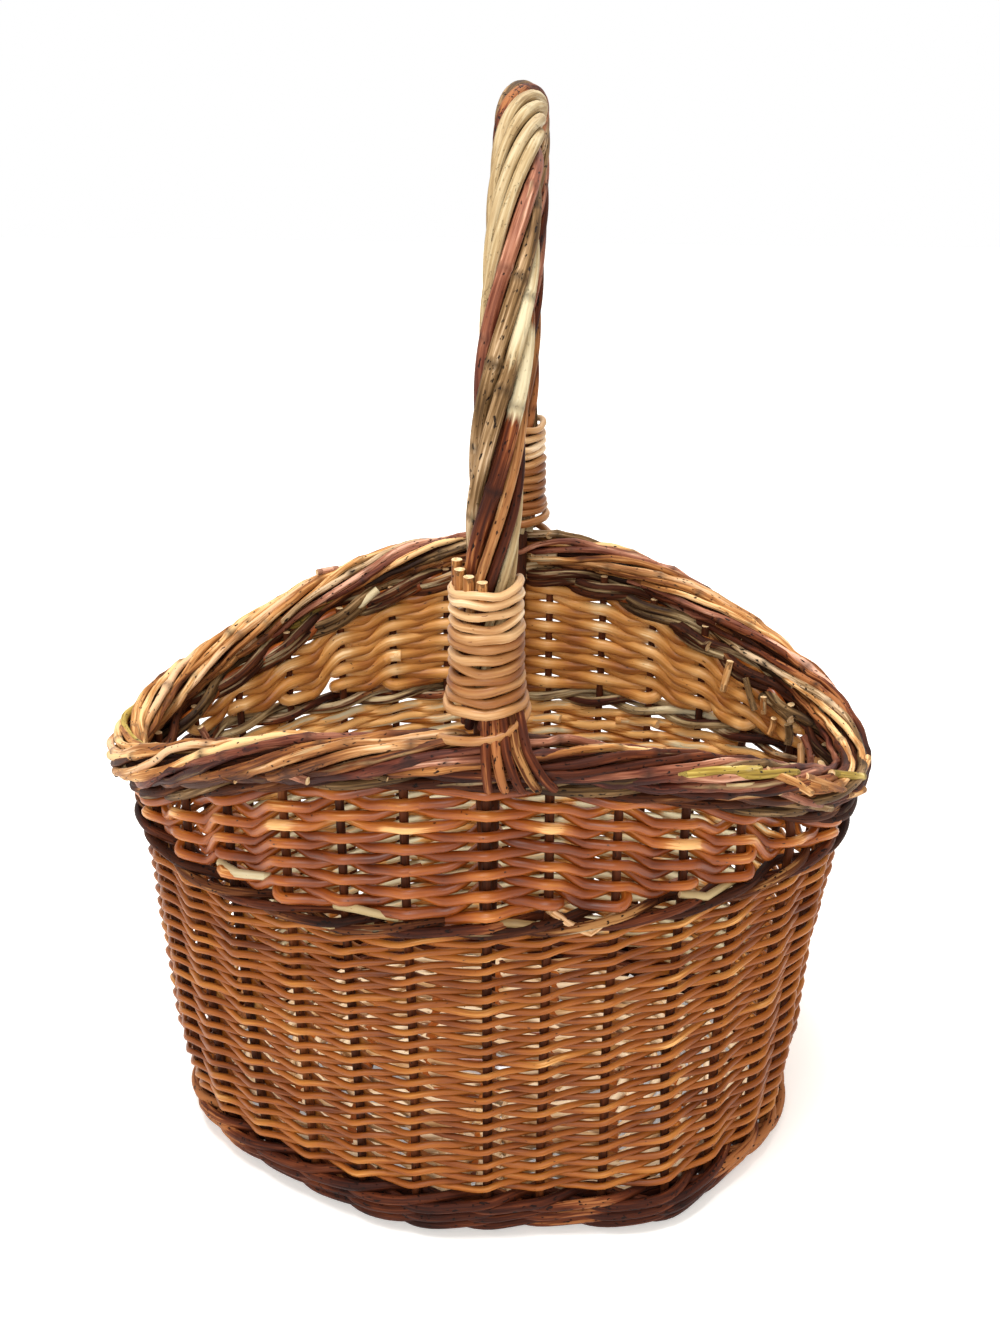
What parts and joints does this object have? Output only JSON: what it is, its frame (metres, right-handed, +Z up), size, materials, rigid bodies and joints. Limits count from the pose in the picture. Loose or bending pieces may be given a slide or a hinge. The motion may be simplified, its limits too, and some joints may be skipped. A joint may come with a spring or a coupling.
{
  "type": "wicker basket",
  "caption": "Oval open willow shopping basket with high curved sides, a roped border and a fixed roped bow handle lashed at both sides.",
  "frame": {"origin": "middle of the oval foot, on the surface that the basket stands on", "axes": "+X along the basket's long side, -Y its front, +Z up"},
  "size_m": [0.3726, 0.2916, 0.5237],
  "materials": {
    "buff_willow": "boiled and peeled willow rods, satin",
    "brown_bark_willow": "willow rods with dark bark on, matt",
    "stake_willow": "dark bark-on stakes, matt",
    "base_willow": "buff willow sticks and weavers, satin",
    "golden_bark_willow": "golden bark-on willow, satin",
    "red_bark_willow": "red-brown bark-on willow, satin",
    "green_bark_willow": "olive bark-on willow with knots, matt",
    "peeled_willow": "white peeled willow, satin"
  },
  "bodies": {
    "root": {"back_lashing": "peeled_willow", "back_packing": "buff_willow", "back_rod_ends": "peeled_willow", "back_rope_tails": "red_bark_willow", "base_long_sticks": "base_willow", "base_short_sticks": "base_willow", "base_weave": "base_willow", "border_core": "golden_bark_willow", "border_rod_1": "golden_bark_willow", "border_rod_2": "red_bark_willow", "border_rod_3": "golden_bark_willow", "border_rod_4": "green_bark_willow", "border_rod_5": "golden_bark_willow", "border_rod_6": "red_bark_willow", "border_rod_7": "green_bark_willow", "foot_wale": "brown_bark_willow", "front_lashing": "peeled_willow", "front_packing": "buff_willow", "front_rod_ends": "peeled_willow", "front_rope_tails": "red_bark_willow", "handle_bow": "buff_willow", "handle_rope_rod_1": "peeled_willow", "handle_rope_rod_2": "peeled_willow", "handle_rope_rod_3": "peeled_willow", "handle_rope_rod_4": "peeled_willow", "handle_rope_rod_5": "red_bark_willow", "handle_rope_rod_6": "green_bark_willow", "handle_rope_rod_7": "red_bark_willow", "handle_rope_rod_8": "green_bark_willow", "lower_weave": "buff_willow", "middle_wale": "brown_bark_willow", "side_stakes": "stake_willow", "top_wale_inner_rod": "brown_bark_willow", "top_wale_outer_rod": "brown_bark_willow"}
  },
  "joints": []
}
